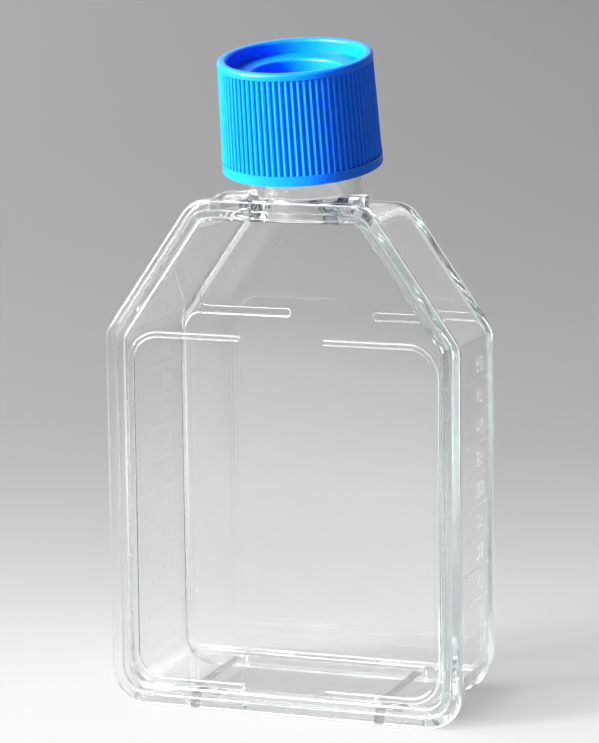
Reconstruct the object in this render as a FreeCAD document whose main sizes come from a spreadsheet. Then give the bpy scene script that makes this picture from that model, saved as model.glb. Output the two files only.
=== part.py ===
import FreeCAD, Part
import math
import os
import Sketcher
from FreeCAD import Placement, Rotation, Vector

# A 25 square centimetre cell culture flask with a canted neck, standing on its end.
#
# Frame: +Z runs up from the table to the cap, +X across the width, and -Y is the front,
# the side that carries the clear cover plate and towards which the neck leans.
# Inside each flask piece the sketches lie parallel to the growth face, and a station is the
# distance forward from the outside of that face.

doc = FreeCAD.newDocument("culture_flask")

# ---------------------------------------------------------------- driving dimensions (mm)
SIZES = [
    # outline of the rim round the open front of the tray
    ("rim_width", 52.5, "across the rim at its straight sides"),
    ("rim_height", 72.9, "from the table to the top edge of the rim"),
    ("shoulder_height", 53.8, "from the table to where the sides meet the slanted shoulders"),
    ("rim_top_width", 25.9, "across the rim at its top edge"),
    ("rim_corner_foot", 4.8, "corner radius of the rim at the table"),
    ("rim_corner_shoulder", 4.2, "corner radius of the rim at the shoulders"),
    ("rim_corner_top", 4.5, "corner radius of the rim beside the neck"),
    ("corner_shrink", 0.6, "how much a corner radius shrinks for each mm of inset"),
    ("rim_thickness", 1.4, "height of the rim's outer edge face"),
    ("rim_slope", 1.0, "length of the slope that ties the rim to the wall"),
    ("rim_round", 0.5, "rounding of the rim's outer front edge"),
    ("rim_back_round", 0.3, "rounding of the rim's outer back edge"),
    ("rim_land", 1.46, "width of the rim's front face outside the cover plate"),
    ("seat_depth", 1.5, "depth of the rebate that the cover plate sits in"),
    ("seam_round", 0.15, "rounding of both edges of the seam round the cover plate"),
    # tray
    ("body_depth", 21.9, "from the growth face's outside to the rim's front face"),
    ("wall_inset_front", 1.75, "rim edge to the outside of the wall, at the rim"),
    ("wall_inset_back", 2.25, "rim edge to the outside of the wall, at the growth face"),
    ("wall_thickness", 1.2, "side, foot and shoulder walls"),
    ("panel_thickness", 1.2, "growth face"),
    ("back_corner_foot", 3.2, "corner radius of the walls at the growth face, at the foot"),
    ("back_corner_shoulder", 5.4, "corner radius of the growth panel at the shoulders"),
    ("back_corner_top", 4.2, "corner radius of the growth panel beside the neck"),
    ("back_edge_radius", 0.9, "rounding of the growth panel's outer edge"),
    ("inner_edge_radius", 1.0, "rounding inside, where wall and growth face meet"),
    # foot
    ("foot_thickness", 1.6, "thickness of the rear foot, the growth panel's skirt"),
    ("skirt_corner", 5.6, "corner radius of the skirt at the table"),
    ("runner_width", 1.45, "width of a foot runner"),
    ("runner_spacing", 27.8, "between the middles of the two foot runners"),
    # the growth panel's raised border and cross bar
    ("border_rise", 0.4, "how far the border and the bar stand proud of the growth face"),
    ("border_root", 1.0, "station to which the border is rooted in the growth panel"),
    ("border_width", 0.7, "width of the border"),
    ("border_foot", 2.3, "table to the border's lower run"),
    ("border_gap", 13.1, "break in the border's lower run"),
    ("recess_corner", 2.8, "corner radius inside the border, over the growth surface"),
    ("recess_bar_corner", 1.5, "corner radius inside the border, above the cross bar"),
    ("crossbar_width", 1.28, "width of the bar across the growth panel"),
    ("crossbar_lift", 0.25, "shoulder height up to the bar's middle line"),
    ("crossbar_gap", 12.6, "break in the middle of the bar"),
    ("crossbar_end_round", 0.55, "rounding of the bar's ends"),
    ("border_round", 0.28, "rounding of the crests of the border and the bar"),
    # the cover plate's stacking bead
    ("bead_width", 0.9, "width of the stacking bead at its root"),
    ("bead_rise", 0.4, "how far the stacking bead stands proud"),
    ("bead_round", 0.32, "rounding of the bead's crest"),
    ("bead_corner", 4.0, "corner radius of the bead's middle line"),
    ("bead_gap", 12.4, "break in the bead at the top and bottom"),
    ("bead_inset", 3.6, "rim edge to the bead's middle line, at the sides and the foot"),
    ("bead_drop", 0.3, "shoulder height down to the bead's upper run"),
    ("lug_length", 7.5, "length of the two stacking lugs on the bead's lower run"),
    ("lug_rise", 0.25, "how far a stacking lug stands above the bead"),
    ("lug_round", 0.2, "rounding of a lug's crest"),
    # cover plate
    ("seam_gap", 0.05, "clearance of the cover plate all round its rebate"),
    ("cover_drop", 0.3, "rim's front face to the cover plate's border"),
    ("window_drop", 0.6, "cover plate's border down to its window"),
    ("window_inset", 2.62, "rim edge to the window's edge"),
    ("window_round", 0.25, "rounding of the border's edge round the window"),
    ("window_thickness", 1.2, "cover plate's thickness at its window"),
    ("spigot_gap", 0.1, "clearance of the cover plate's spigot inside the walls"),
    ("gate_drop", 6.1, "rim's top edge down to the middle of the cover plate's gate mark"),
    ("gate_radius", 0.6, "radius of the gate mark's ring"),
    ("gate_dimple", 0.32, "radius of the dimple in the gate mark"),
    ("gate_rise", 0.15, "how far the gate mark's ring stands proud"),
    # graduations on both side walls
    ("mark_pitch", 8.94, "between two graduations of one kind"),
    ("mark_count", 5, "long marks, and as many short ones"),
    ("major_first", 10.95, "table to the lowest long graduation"),
    ("minor_first", 6.48, "table to the lowest short graduation"),
    ("mark_width", 0.35, "width of a graduation ridge"),
    ("mark_rise", 0.14, "how far a graduation ridge stands proud"),
    ("mark_sink", 0.3, "how far a graduation ridge is rooted in the wall"),
    ("major_start", 13.7, "station of a long graduation's front end"),
    ("minor_start", 12.4, "station of a short graduation's front end"),
    ("mark_end", 1.6, "station of every graduation's back end"),
    # neck
    ("neck_lean", 9.5, "lean of the neck towards the front, degrees"),
    ("neck_station", 11.05, "station where the neck's axis meets the height of the rim's top"),
    ("neck_radius", 8.1, "outside of the neck"),
    ("neck_wall", 1.2, "wall of the neck"),
    ("neck_lip_round", 0.35, "rounding of the mouth"),
    ("neck_root", 5.0, "how far the neck's axis runs down into the shoulder"),
    ("thread_sink", 0.1, "how far the thread is sunk in the neck"),
    ("thread_rise", 0.75, "how far the thread stands off the neck"),
    ("thread_root_width", 1.3, "width of the thread at its root"),
    ("thread_crest_width", 0.6, "width of the thread at its crest"),
    ("thread_pitch", 3.2, "pitch of the thread"),
    ("thread_turns", 1.6, "turns of the thread"),
    ("thread_start", 8.0, "height of the thread's lower end above the rim's top height"),
    ("collar_half_width", 10.4, "middle of the flask to the end of the collar pad"),
    ("collar_rise", 0.3, "rim's top height up to the top of the collar pad"),
    ("collar_back", 13.5, "station of the collar pad's back"),
    ("collar_crest", 17.6, "station where the collar pad starts to fall towards the rim"),
    ("collar_front", 20.9, "station where the collar pad runs out in the rim"),
    ("collar_fall", 0.1, "how far the collar pad's front lies under the rim's top"),
    ("peg_side", 9.85, "middle of the flask to the small peg beside the neck"),
    ("peg_station", 11.05, "station of the peg"),
    ("peg_width", 0.25, "width of the peg"),
    ("peg_depth", 0.4, "depth of the peg"),
    ("peg_rise", 0.4, "rim's top height up to the peg's top"),
    # cap
    ("cap_base", 4.07, "rim's top height to the cap's lower edge, along the axis"),
    ("cap_height", 15.73, "height of the cap"),
    ("cap_band_radius", 11.25, "plain band at the cap's lower edge"),
    ("cap_band_height", 1.4, "height of the plain band"),
    ("cap_foot_radius", 10.86, "skirt between the ribs, just above the band"),
    ("cap_head_radius", 10.46, "skirt between the ribs, just below the lip"),
    ("cap_lip_radius", 10.84, "outside of the lip"),
    ("cap_lip_height", 1.0, "height of the lip above the ribs' roots"),
    ("cap_lip_width", 1.3, "width of the lip"),
    ("cap_lip_round", 0.5, "rounding of the lip's outer and inner edges"),
    ("rib_count", 80, "ribs round the skirt"),
    ("rib_width", 0.68, "width of a rib at the skirt"),
    ("rib_shoulder_width", 0.46, "width of a rib at its shoulders"),
    ("rib_shoulder_rise", 0.22, "skirt to a rib's shoulders"),
    ("rib_rise", 0.34, "how far a rib stands off the skirt"),
    ("rib_sink", 0.15, "how far a rib is rooted in the skirt"),
    ("recess_depth", 2.0, "lip's top to the ledge of the recess"),
    ("ledge_thickness", 1.2, "thickness of the ledge"),
    ("hollow_radius", 6.15, "radius of the hollow at the ledge"),
    ("hollow_foot_radius", 5.75, "radius of the hollow at its floor"),
    ("hollow_round", 0.45, "rounding where the ledge falls into the hollow"),
    ("plug_length", 7.2, "ledge's underside to the plug's tip"),
    ("plug_floor", 1.0, "thickness of the plug's floor"),
    ("plug_fit", 0.12, "clearance of the plug in the neck's bore"),
    ("plug_taper", 0.25, "how much smaller the plug's tip is, in radius"),
    ("thread_gap", 0.2, "clearance of the cap's skirt over the thread's crest"),
    ("skirt_chamfer", 0.3, "lead-in inside the skirt's lower edge"),
    ("ledge_gap", 0.15, "clearance of the ledge above the neck's mouth"),
]

sheet = doc.addObject("Spreadsheet::Sheet", "sizes")
for row, (alias, value, meaning) in enumerate(SIZES, start=1):
    sheet.set(f"A{row}", alias)
    sheet.set(f"B{row}", str(value))
    sheet.set(f"C{row}", meaning)
    sheet.setAlias(f"B{row}", alias)
doc.recompute()

SIZE = {alias: float(sheet.get(alias)) for alias, _, _ in SIZES}


def cell(alias):
    """The expression that reads one cell of the sheet."""
    return f"<<sizes>>.{alias}"


def bind(thing, target, expression):
    """Binds a property or constraint to an expression in which {alias} stands for a cell."""
    cells = {alias: cell(alias) for alias in SIZE}
    thing.setExpression(target, expression.format(**cells))


# ---------------------------------------------------------------- shared helpers
def new_body(name):
    """A body whose sketches lie parallel to the growth face, with its origin in that face."""
    body = doc.addObject("PartDesign::Body", name)
    body.Label = name
    return body


def origin_feature(body, role):
    """One of a body's own origin planes or axes, found by its role."""
    return next(item for item in body.Origin.OriginFeatures if item.Role == role)


def plane_sketch(body, name, role="XZ_Plane", station=None):
    """A sketch on one of the body's origin planes, moved forward to a station."""
    sketch = body.newObject("Sketcher::SketchObject", name)
    sketch.AttachmentSupport = [(origin_feature(body, role), "")]
    sketch.MapMode = "FlatFace"
    if station:
        bind(sketch, "AttachmentOffset.Base.z", station)
    return sketch


def dimension(sketch, name, kind, references, value, expression):
    """A named dimension of a sketch, bound to the sheet."""
    index = sketch.addConstraint(Sketcher.Constraint(kind, *references, value))
    sketch.renameConstraint(index, name)
    bind(sketch, f"Constraints.{name}", expression)


def feature(body, kind, name, sketch, **settings):
    """A PartDesign feature made from a sketch, with plain settings."""
    made = body.newObject(f"PartDesign::{kind}", name)
    made.Profile = sketch
    sketch.Visibility = False
    for key, setting in settings.items():
        setattr(made, key, setting)
    return made


def pad(body, name, sketch, length, **settings):
    made = feature(body, "Pad", name, sketch, **settings)
    bind(made, "Length", length)
    return made


def pocket(body, name, sketch, length, **settings):
    made = feature(body, "Pocket", name, sketch, **settings)
    bind(made, "Length", length)
    return made


def edges_at_station(shape, station):
    """Names of the edges that lie wholly in the plane at one station."""
    names = []
    for index, edge in enumerate(shape.Edges, start=1):
        box = edge.BoundBox
        if abs(box.YMin + station) < SAME_PLACE and abs(box.YMax + station) < SAME_PLACE:
            names.append(f"Edge{index}")
    return names


def fresh_edges(before, after, station):
    """Names of the edges in the plane at one station that the last feature made."""
    known = [edge.CenterOfMass for edge in before.Edges]
    return [name for name in edges_at_station(after, station)
            if min(after.getElement(name).CenterOfMass.distanceToPoint(place)
                   for place in known) > SAME_PLACE]


def depth_edges(shape, across):
    """Names of the straight edges that run from front to back at one distance from the middle."""
    names = []
    for index, edge in enumerate(shape.Edges, start=1):
        places = [vertex.Point for vertex in edge.Vertexes]
        if len(places) == 2 and all(abs(abs(place.x) - across) < SAME_PLACE for place in places):
            if abs(places[0].z - places[1].z) < SAME_PLACE:
                names.append(f"Edge{index}")
    return names


def round_edges(body, name, base, edges, radius):
    """A fillet on named edges of the feature before it."""
    made = body.newObject("PartDesign::Fillet", name)
    made.Base = (base, edges)
    bind(made, "Radius", radius)
    return made


# ---------------------------------------------------------------- the flask's outline
# A rectangle with slanted shoulders. Any outline of the flask is the rim's, moved inward by an
# inset, so a slanted side's ends move by the tangent of half the angle that it turns through.
SLANT = "atan(({rim_width} - {rim_top_width}) / 2 / ({rim_height} - {shoulder_height}))"
SHOULDER_SHIFT = f"tan({SLANT} / 2)"
TOP_SHIFT = f"tan((90 deg - {SLANT}) / 2)"

# how a sketch names a line's ends, an arc's centre, its two axes and its own origin
START, END, CENTRE = range(1, 4)
LEVEL_AXIS, UPRIGHT_AXIS = -1, -2
ORIGIN = (LEVEL_AXIS, START)
# two places this close are one place (mm)
SAME_PLACE = 1e-4


def symmetric_sketch(body, name, station, corners):
    """A rounded outline with the same corners on both sides of the flask's middle.

    The corners go up the right side. Each is its distance from the middle, its height and its
    radius, and each of these is a pair: the number to start from and its expression.
    """
    sketch = plane_sketch(body, name, station=station)
    right = [Vector(across[0], up[0], 0) for across, up, _ in corners]
    loop = right + [Vector(-point.x, point.y, 0) for point in right[::-1]]
    radii = [radius[0] for _, _, radius in corners]
    count = len(loop)
    arcs = []
    for index, (corner, radius) in enumerate(zip(loop, radii + radii[::-1])):
        before = (loop[index - 1] - corner).normalize()
        after = (loop[(index + 1) % count] - corner).normalize()
        half_turn = (math.pi - before.getAngle(after)) / 2
        reach = radius * math.tan(half_turn)
        middle = (before + after).normalize()
        centre = corner + middle * (radius / math.cos(half_turn))
        crown = centre - middle * radius
        arcs.append(Part.Arc(corner + before * reach, crown, corner + after * reach))
    for arc, next_arc in zip(arcs, arcs[1:] + arcs[:1]):
        sketch.addGeometry(Part.LineSegment(arc.EndPoint, next_arc.StartPoint))
    for arc in arcs:
        sketch.addGeometry(arc)
    for line in range(count):
        for arc, arc_end, line_end in ((count + line, END, START),
                                       (count + (line + 1) % count, START, END)):
            sketch.addConstraint(Sketcher.Constraint("Tangent", arc, arc_end, line, line_end))
    for index, (across, up, radius) in enumerate(corners):
        twin = count - 1 - index
        dimension(sketch, f"radius_{index}", "Radius", (count + index,), *radius)
        sketch.addConstraint(Sketcher.Constraint("Equal", count + index, count + twin))
        # the sharp corners on both sides, which the dimensions are taken to
        points = [sketch.addGeometry(Part.Point(loop[place]), True) for place in (index, twin)]
        for point, place in zip(points, (index, twin)):
            for line in ((place - 1) % count, place):
                sketch.addConstraint(Sketcher.Constraint("PointOnObject", point, START, line))
        sketch.addConstraint(
            Sketcher.Constraint("Symmetric", points[0], START, points[1], START, UPRIGHT_AXIS))
        dimension(sketch, f"across_{index}", "DistanceX", (*ORIGIN, points[0], START), *across)
        dimension(sketch, f"up_{index}", "DistanceY", (*ORIGIN, points[0], START), *up)
    return sketch


slant = math.atan2((SIZE["rim_width"] - SIZE["rim_top_width"]) / 2,
                   SIZE["rim_height"] - SIZE["shoulder_height"])


def crest_corner(inset):
    """The outline's sharp corner beside the neck, moved inward by an inset."""
    return (
        (SIZE["rim_top_width"] / 2 - inset[0] * math.tan((math.pi / 2 - slant) / 2),
         "{rim_top_width} / 2 - (" + inset[1] + ") * " + TOP_SHIFT),
        (SIZE["rim_height"] - inset[0], "{rim_height} - (" + inset[1] + ")"),
    )


def outline_sketch(body, name, station, inset, radii, low=None):
    """The flask's outline at a station, moved inward by an inset, with rounded corners."""
    side = (SIZE["rim_width"] / 2 - inset[0], "{rim_width} / 2 - (" + inset[1] + ")")
    elbow = (SIZE["shoulder_height"] - inset[0] * math.tan(slant / 2),
             "{shoulder_height} - (" + inset[1] + ") * " + SHOULDER_SHIFT)
    corners = [(side, low or inset, radii[0]), (side, elbow, radii[1]),
               (*crest_corner(inset), radii[2])]
    return symmetric_sketch(body, name, station, corners)


def rim_radii(inset):
    """Corner radii of an outline near the rim: they shrink as the inset grows."""
    names = ("rim_corner_foot", "rim_corner_shoulder", "rim_corner_top")
    return [
        (SIZE[name] - SIZE["corner_shrink"] * inset[0],
         "{" + name + "} - {corner_shrink} * (" + inset[1] + ")")
        for name in names
    ]


def back_radii(shrink):
    """Corner radii of an outline near the growth face, less the wall's share of them."""
    names = ("back_corner_foot", "back_corner_shoulder", "back_corner_top")
    return [(SIZE[name] - shrink[0], "{" + name + "} - (" + shrink[1] + ")") for name in names]


def size_pair(*aliases):
    """The sum of some cells, as a number to start from and as an expression."""
    return sum(SIZE[alias] for alias in aliases), " + ".join("{" + a + "}" for a in aliases)


NONE = (0.0, "0")


def box_sketch(body, name, station, left, right, low, high):
    """A rectangle parallel to the growth face; each side is a start number and expression."""
    sketch = plane_sketch(body, name, station=station)
    points = [Vector(left[0], low[0], 0), Vector(right[0], low[0], 0),
              Vector(right[0], high[0], 0), Vector(left[0], high[0], 0)]
    for index in range(4):
        sketch.addGeometry(Part.LineSegment(points[index], points[(index + 1) % 4]))
    for index in range(4):
        sketch.addConstraint(
            Sketcher.Constraint("Coincident", index, END, (index + 1) % 4, START))
    for index in (0, 2):
        sketch.addConstraint(Sketcher.Constraint("Horizontal", index))
        sketch.addConstraint(Sketcher.Constraint("Vertical", index + 1))
    dimension(sketch, "width", "DistanceX", (0, START, 0, END), right[0] - left[0],
              "(" + right[1] + ") - (" + left[1] + ")")
    dimension(sketch, "rise", "DistanceY", (1, START, 1, END), high[0] - low[0],
              "(" + high[1] + ") - (" + low[1] + ")")
    dimension(sketch, "right", "DistanceX", (*ORIGIN, 2, START), right[0], right[1])
    dimension(sketch, "high", "DistanceY", (*ORIGIN, 2, START), high[0], high[1])
    return sketch


def mirror(body, name, originals):
    """The twin of some features on the flask's other side."""
    made = body.newObject("PartDesign::Mirrored", name)
    made.Originals = originals
    made.MirrorPlane = (origin_feature(body, "YZ_Plane"), [""])
    body.Tip = made
    return made


def polygon(sketch, points, expressions):
    """A closed outline of straight lines with every corner placed from the sketch's origin.

    A point to the left of the upright axis gives its distance from it as an expression, like
    one to the right; a point on the axis stays on it.
    """
    vectors = [Vector(across, up, 0) for across, up in points]
    count = len(vectors)
    for index in range(count):
        sketch.addGeometry(Part.LineSegment(vectors[index], vectors[(index + 1) % count]))
    for index in range(count):
        sketch.addConstraint(
            Sketcher.Constraint("Coincident", index, END, (index + 1) % count, START))
    for index, (point, (across, up)) in enumerate(zip(points, expressions)):
        if point[0] == 0:
            sketch.addConstraint(Sketcher.Constraint("PointOnObject", index, START, UPRIGHT_AXIS))
        elif point[0] > 0:
            dimension(sketch, f"across_{index}", "DistanceX", (*ORIGIN, index, START),
                      point[0], across)
        else:
            dimension(sketch, f"across_{index}", "DistanceX", (index, START, *ORIGIN),
                      -point[0], across)
        dimension(sketch, f"up_{index}", "DistanceY", (*ORIGIN, index, START), point[1], up)
    return sketch


def bead_run(sketch, reach, bends):
    """One edge line of a half bead: foot run, bend, upright, bend, top run. Returns its lines."""
    gap = SIZE["bead_gap"] / 2
    low, high = bends
    slant = Vector(reach, reach, 0) * math.sqrt(0.5)
    low_arc = Part.Arc(low - Vector(0, reach, 0), low + Vector(slant.x, -slant.y, 0),
                       low + Vector(reach, 0, 0))
    high_arc = Part.Arc(high + Vector(reach, 0, 0), high + slant, high + Vector(0, reach, 0))
    foot = sketch.addGeometry(
        Part.LineSegment(Vector(gap, low_arc.StartPoint.y, 0), low_arc.StartPoint))
    sketch.addGeometry(low_arc)
    upright = sketch.addGeometry(Part.LineSegment(low_arc.EndPoint, high_arc.StartPoint))
    sketch.addGeometry(high_arc)
    top = sketch.addGeometry(
        Part.LineSegment(high_arc.EndPoint, Vector(gap, high_arc.EndPoint.y, 0)))
    for index in range(foot, top):
        sketch.addConstraint(Sketcher.Constraint("Tangent", index, END, index + 1, START))
    sketch.addConstraint(Sketcher.Constraint("Horizontal", foot))
    sketch.addConstraint(Sketcher.Constraint("Vertical", upright))
    sketch.addConstraint(Sketcher.Constraint("Horizontal", top))
    return foot, upright, top


def bead_outline(sketch):
    """Half of the stacking bead's rounded loop, from its break at the foot to that at the top."""
    side = SIZE["rim_width"] / 2 - SIZE["bead_inset"]
    low, high = SIZE["bead_inset"], SIZE["shoulder_height"] - SIZE["bead_drop"]
    bend, half = SIZE["bead_corner"], SIZE["bead_width"] / 2
    centres = (Vector(side - bend, low + bend, 0), Vector(side - bend, high - bend, 0))
    foot, upright, top = bead_run(sketch, bend + half, centres)
    inner_foot, inner_upright, inner_top = bead_run(sketch, bend - half, centres)
    low_bend, high_bend = foot + 1, top - 1
    for outer, inner in ((low_bend, inner_foot + 1), (high_bend, inner_top - 1)):
        sketch.addConstraint(Sketcher.Constraint("Coincident", outer, CENTRE, inner, CENTRE))
    geometry = sketch.Geometry
    for outer, inner, end in ((foot, inner_foot, START), (top, inner_top, END)):
        points = [geometry[line].StartPoint if end == START else geometry[line].EndPoint
                  for line in (outer, inner)]
        closing = sketch.addGeometry(Part.LineSegment(*points))
        sketch.addConstraint(Sketcher.Constraint("Coincident", closing, START, outer, end))
        sketch.addConstraint(Sketcher.Constraint("Coincident", closing, END, inner, end))
        sketch.addConstraint(Sketcher.Constraint("Vertical", closing))
        dimension(sketch, f"break_{outer}", "DistanceX", (*ORIGIN, closing, START),
                  SIZE["bead_gap"] / 2, "{bead_gap} / 2")
    dimension(sketch, "bend", "Radius", (low_bend,), bend + half, "{bead_corner} + {bead_width} / 2")
    sketch.addConstraint(Sketcher.Constraint("Equal", low_bend, high_bend))
    middle_side = "{rim_width} / 2 - {bead_inset}"
    dimension(sketch, "outer_side", "DistanceX", (*ORIGIN, upright, START), side + half,
              middle_side + " + {bead_width} / 2")
    dimension(sketch, "inner_side", "DistanceX", (*ORIGIN, inner_upright, START), side - half,
              middle_side + " - {bead_width} / 2")
    dimension(sketch, "outer_low", "DistanceY", (*ORIGIN, foot, START), low - half,
              "{bead_inset} - {bead_width} / 2")
    dimension(sketch, "outer_high", "DistanceY", (*ORIGIN, top, END), high + half,
              "{shoulder_height} - {bead_drop} + {bead_width} / 2")


def ring_edges(shape, height, radius=None):
    """Names of the level circular edges at one height of a turned piece."""
    names = []
    for index, edge in enumerate(shape.Edges, start=1):
        if edge.Curve.TypeId != "Part::GeomCircle" or abs(edge.Curve.Center.z - height) > SAME_PLACE:
            continue
        if radius is None or abs(edge.Curve.Radius - radius) < SAME_PLACE:
            names.append(f"Edge{index}")
    return names


def mouth_edges(shape):
    """Names of the neck's two edges at its mouth, the highest circles of the tray."""
    rings = [(edge.Curve.Center.z, index) for index, edge in enumerate(shape.Edges, start=1)
             if edge.Curve.TypeId == "Part::GeomCircle"]
    highest = max(height for height, _ in rings)
    return [f"Edge{index}" for height, index in rings if highest - height < SAME_PLACE]


# Every flask piece is drawn from the growth face's outside forward. The part's frame has the
# middle of its own depth at y = 0, so the pieces move back by this much: the cap's rounded lip
# is the part's foremost point, and the growth face's border its rearmost.
CAP_REACH = ("({cap_lip_radius} - {cap_lip_round}) * cos({neck_lean} * 1 deg)"
             " + ({cap_base} + {cap_height} - {cap_lip_round}) * sin({neck_lean} * 1 deg)"
             " + {cap_lip_round}")
FRAME_SHIFT = "({neck_station} + " + CAP_REACH + " - {border_rise}) / 2"

# ---------------------------------------------------------------- tray with its neck
tray = new_body("flask_body")

RIM_FRONT = "{body_depth}"
RIM_BACK = "{body_depth} - {rim_thickness}"
back_inset = size_pair("wall_inset_back")
front_inset = size_pair("wall_inset_front")

# the growth panel reaches down to the table as a skirt, which the flask's back stands on
panel_outline = outline_sketch(
    tray, "panel_outline", None, back_inset,
    [size_pair("skirt_corner"), *back_radii(NONE)[1:]], NONE)
panel = pad(tray, "panel", panel_outline, "{foot_thickness}")
doc.recompute()
round_edges(tray, "back_edge", panel, edges_at_station(panel.Shape, 0.0), "{back_edge_radius}")

wall_root = outline_sketch(tray, "wall_root", "{foot_thickness}", back_inset, back_radii(NONE))
wall_outline = outline_sketch(
    tray, "wall_outline", RIM_BACK + " - {rim_slope}", front_inset, rim_radii(front_inset))
rim_outline = outline_sketch(tray, "rim_outline", RIM_BACK, NONE, rim_radii(NONE))
feature(tray, "AdditiveLoft", "walls", wall_root,
        Sections=[wall_outline, rim_outline], Ruled=True)
rim = pad(tray, "rim", rim_outline, "{rim_thickness}")
doc.recompute()
rim_round = round_edges(tray, "rim_round", rim,
                        edges_at_station(rim.Shape, SIZE["body_depth"]), "{rim_round}")
doc.recompute()
round_edges(
    tray, "rim_back_round", rim_round,
    edges_at_station(rim_round.Shape, SIZE["body_depth"] - SIZE["rim_thickness"]),
    "{rim_back_round}")

# the growth panel's border, from which the recesses are cut later
border_outline = outline_sketch(
    tray, "border_outline", "-{border_rise}", back_inset,
    [(SIZE["recess_corner"] + SIZE["border_width"], "{recess_corner} + {border_width}"),
     *back_radii(NONE)[1:]], size_pair("border_foot"))
pad(tray, "border", border_outline, "{border_rise} + {border_root}")

# two runners join the skirt to the rim under the foot wall
half_runner = SIZE["runner_width"] / 2
runner_sketch = box_sketch(
    tray, "runner_sketch", "{foot_thickness} / 2",
    (SIZE["runner_spacing"] / 2 - half_runner, "{runner_spacing} / 2 - {runner_width} / 2"),
    (SIZE["runner_spacing"] / 2 + half_runner, "{runner_spacing} / 2 + {runner_width} / 2"),
    NONE, (SIZE["wall_inset_back"] + SIZE["wall_thickness"] / 2,
           "{wall_inset_back} + {wall_thickness} / 2"))
runner = pad(tray, "runner", runner_sketch, RIM_BACK + " - {foot_thickness} / 2")
mirror(tray, "runner_twin", [runner])

# collar: the low platform in front of the neck, which falls forward to the rim
collar_sketch = plane_sketch(tray, "collar_sketch", role="YZ_Plane")
collar_root = SIZE["rim_height"] - SIZE["wall_inset_front"] - SIZE["wall_thickness"] / 2
COLLAR_ROOT = "{rim_height} - {wall_inset_front} - {wall_thickness} / 2"
collar_top = SIZE["rim_height"] + SIZE["collar_rise"]
COLLAR_TOP = "{rim_height} + {collar_rise}"
polygon(collar_sketch,
        [(-SIZE["collar_back"], collar_root), (-SIZE["collar_back"], collar_top),
         (-SIZE["collar_crest"], collar_top),
         (-SIZE["collar_front"], SIZE["rim_height"] - SIZE["collar_fall"]),
         (-SIZE["collar_front"], collar_root)],
        [("{collar_back}", COLLAR_ROOT), ("{collar_back}", COLLAR_TOP),
         ("{collar_crest}", COLLAR_TOP),
         ("{collar_front}", "{rim_height} - {collar_fall}"),
         ("{collar_front}", COLLAR_ROOT)])
pad(tray, "collar", collar_sketch, "2 * {collar_half_width}", Midplane=True)

# one small square peg stands beside the neck
half_peg = SIZE["peg_width"] / 2
peg_sketch = box_sketch(
    tray, "peg_sketch", "{peg_station} - {peg_depth} / 2",
    (SIZE["peg_side"] - half_peg, "{peg_side} - {peg_width} / 2"),
    (SIZE["peg_side"] + half_peg, "{peg_side} + {peg_width} / 2"),
    (collar_root, COLLAR_ROOT),
    (SIZE["rim_height"] + SIZE["peg_rise"], "{rim_height} + {peg_rise}"))
pad(tray, "peg", peg_sketch, "{peg_depth}")


# neck: drawn upright, then leant forward about its root
def leaning_sketch(name):
    """A sketch in the tray's middle plane whose upright axis is the neck's own axis."""
    sketch = plane_sketch(tray, name, role="YZ_Plane")
    sketch.AttachmentOffset = Placement(Vector(), Rotation(Vector(0, 0, 1), SIZE["neck_lean"]))
    bind(sketch, "AttachmentOffset.Base.x", "-{neck_station}")
    bind(sketch, "AttachmentOffset.Base.y", "{rim_height}")
    bind(sketch, "AttachmentOffset.Rotation.Angle", "{neck_lean} * 1 deg")
    return sketch


MOUTH = "{cap_base} + {cap_height} - {recess_depth} - {ledge_thickness} - {ledge_gap}"
mouth = (SIZE["cap_base"] + SIZE["cap_height"] - SIZE["recess_depth"]
         - SIZE["ledge_thickness"] - SIZE["ledge_gap"])
neck_profile = leaning_sketch("neck_profile")
polygon(neck_profile,
        [(0, -SIZE["neck_root"]), (SIZE["neck_radius"], -SIZE["neck_root"]),
         (SIZE["neck_radius"], mouth), (0, mouth)],
        [("0", "-{neck_root}"), ("{neck_radius}", "-{neck_root}"),
         ("{neck_radius}", MOUTH), ("0", MOUTH)])
feature(tray, "Revolution", "neck", neck_profile,
        ReferenceAxis=(neck_profile, ["V_Axis"]), Angle=360.0)

thread_profile = leaning_sketch("thread_profile")
thread_root = SIZE["neck_radius"] - SIZE["thread_sink"]
thread_crest = SIZE["neck_radius"] + SIZE["thread_rise"]
half_root, half_crest = SIZE["thread_root_width"] / 2, SIZE["thread_crest_width"] / 2
ROOT, CREST = "{neck_radius} - {thread_sink}", "{neck_radius} + {thread_rise}"
polygon(thread_profile,
        [(thread_root, SIZE["thread_start"] - half_root),
         (thread_crest, SIZE["thread_start"] - half_crest),
         (thread_crest, SIZE["thread_start"] + half_crest),
         (thread_root, SIZE["thread_start"] + half_root)],
        [(ROOT, "{thread_start} - {thread_root_width} / 2"),
         (CREST, "{thread_start} - {thread_crest_width} / 2"),
         (CREST, "{thread_start} + {thread_crest_width} / 2"),
         (ROOT, "{thread_start} + {thread_root_width} / 2")])
thread = feature(tray, "AdditiveHelix", "thread", thread_profile,
                 ReferenceAxis=(thread_profile, ["V_Axis"]), Mode="pitch-turns-angle")
bind(thread, "Pitch", "{thread_pitch}")
bind(thread, "Turns", "{thread_turns}")
doc.recompute()

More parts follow.
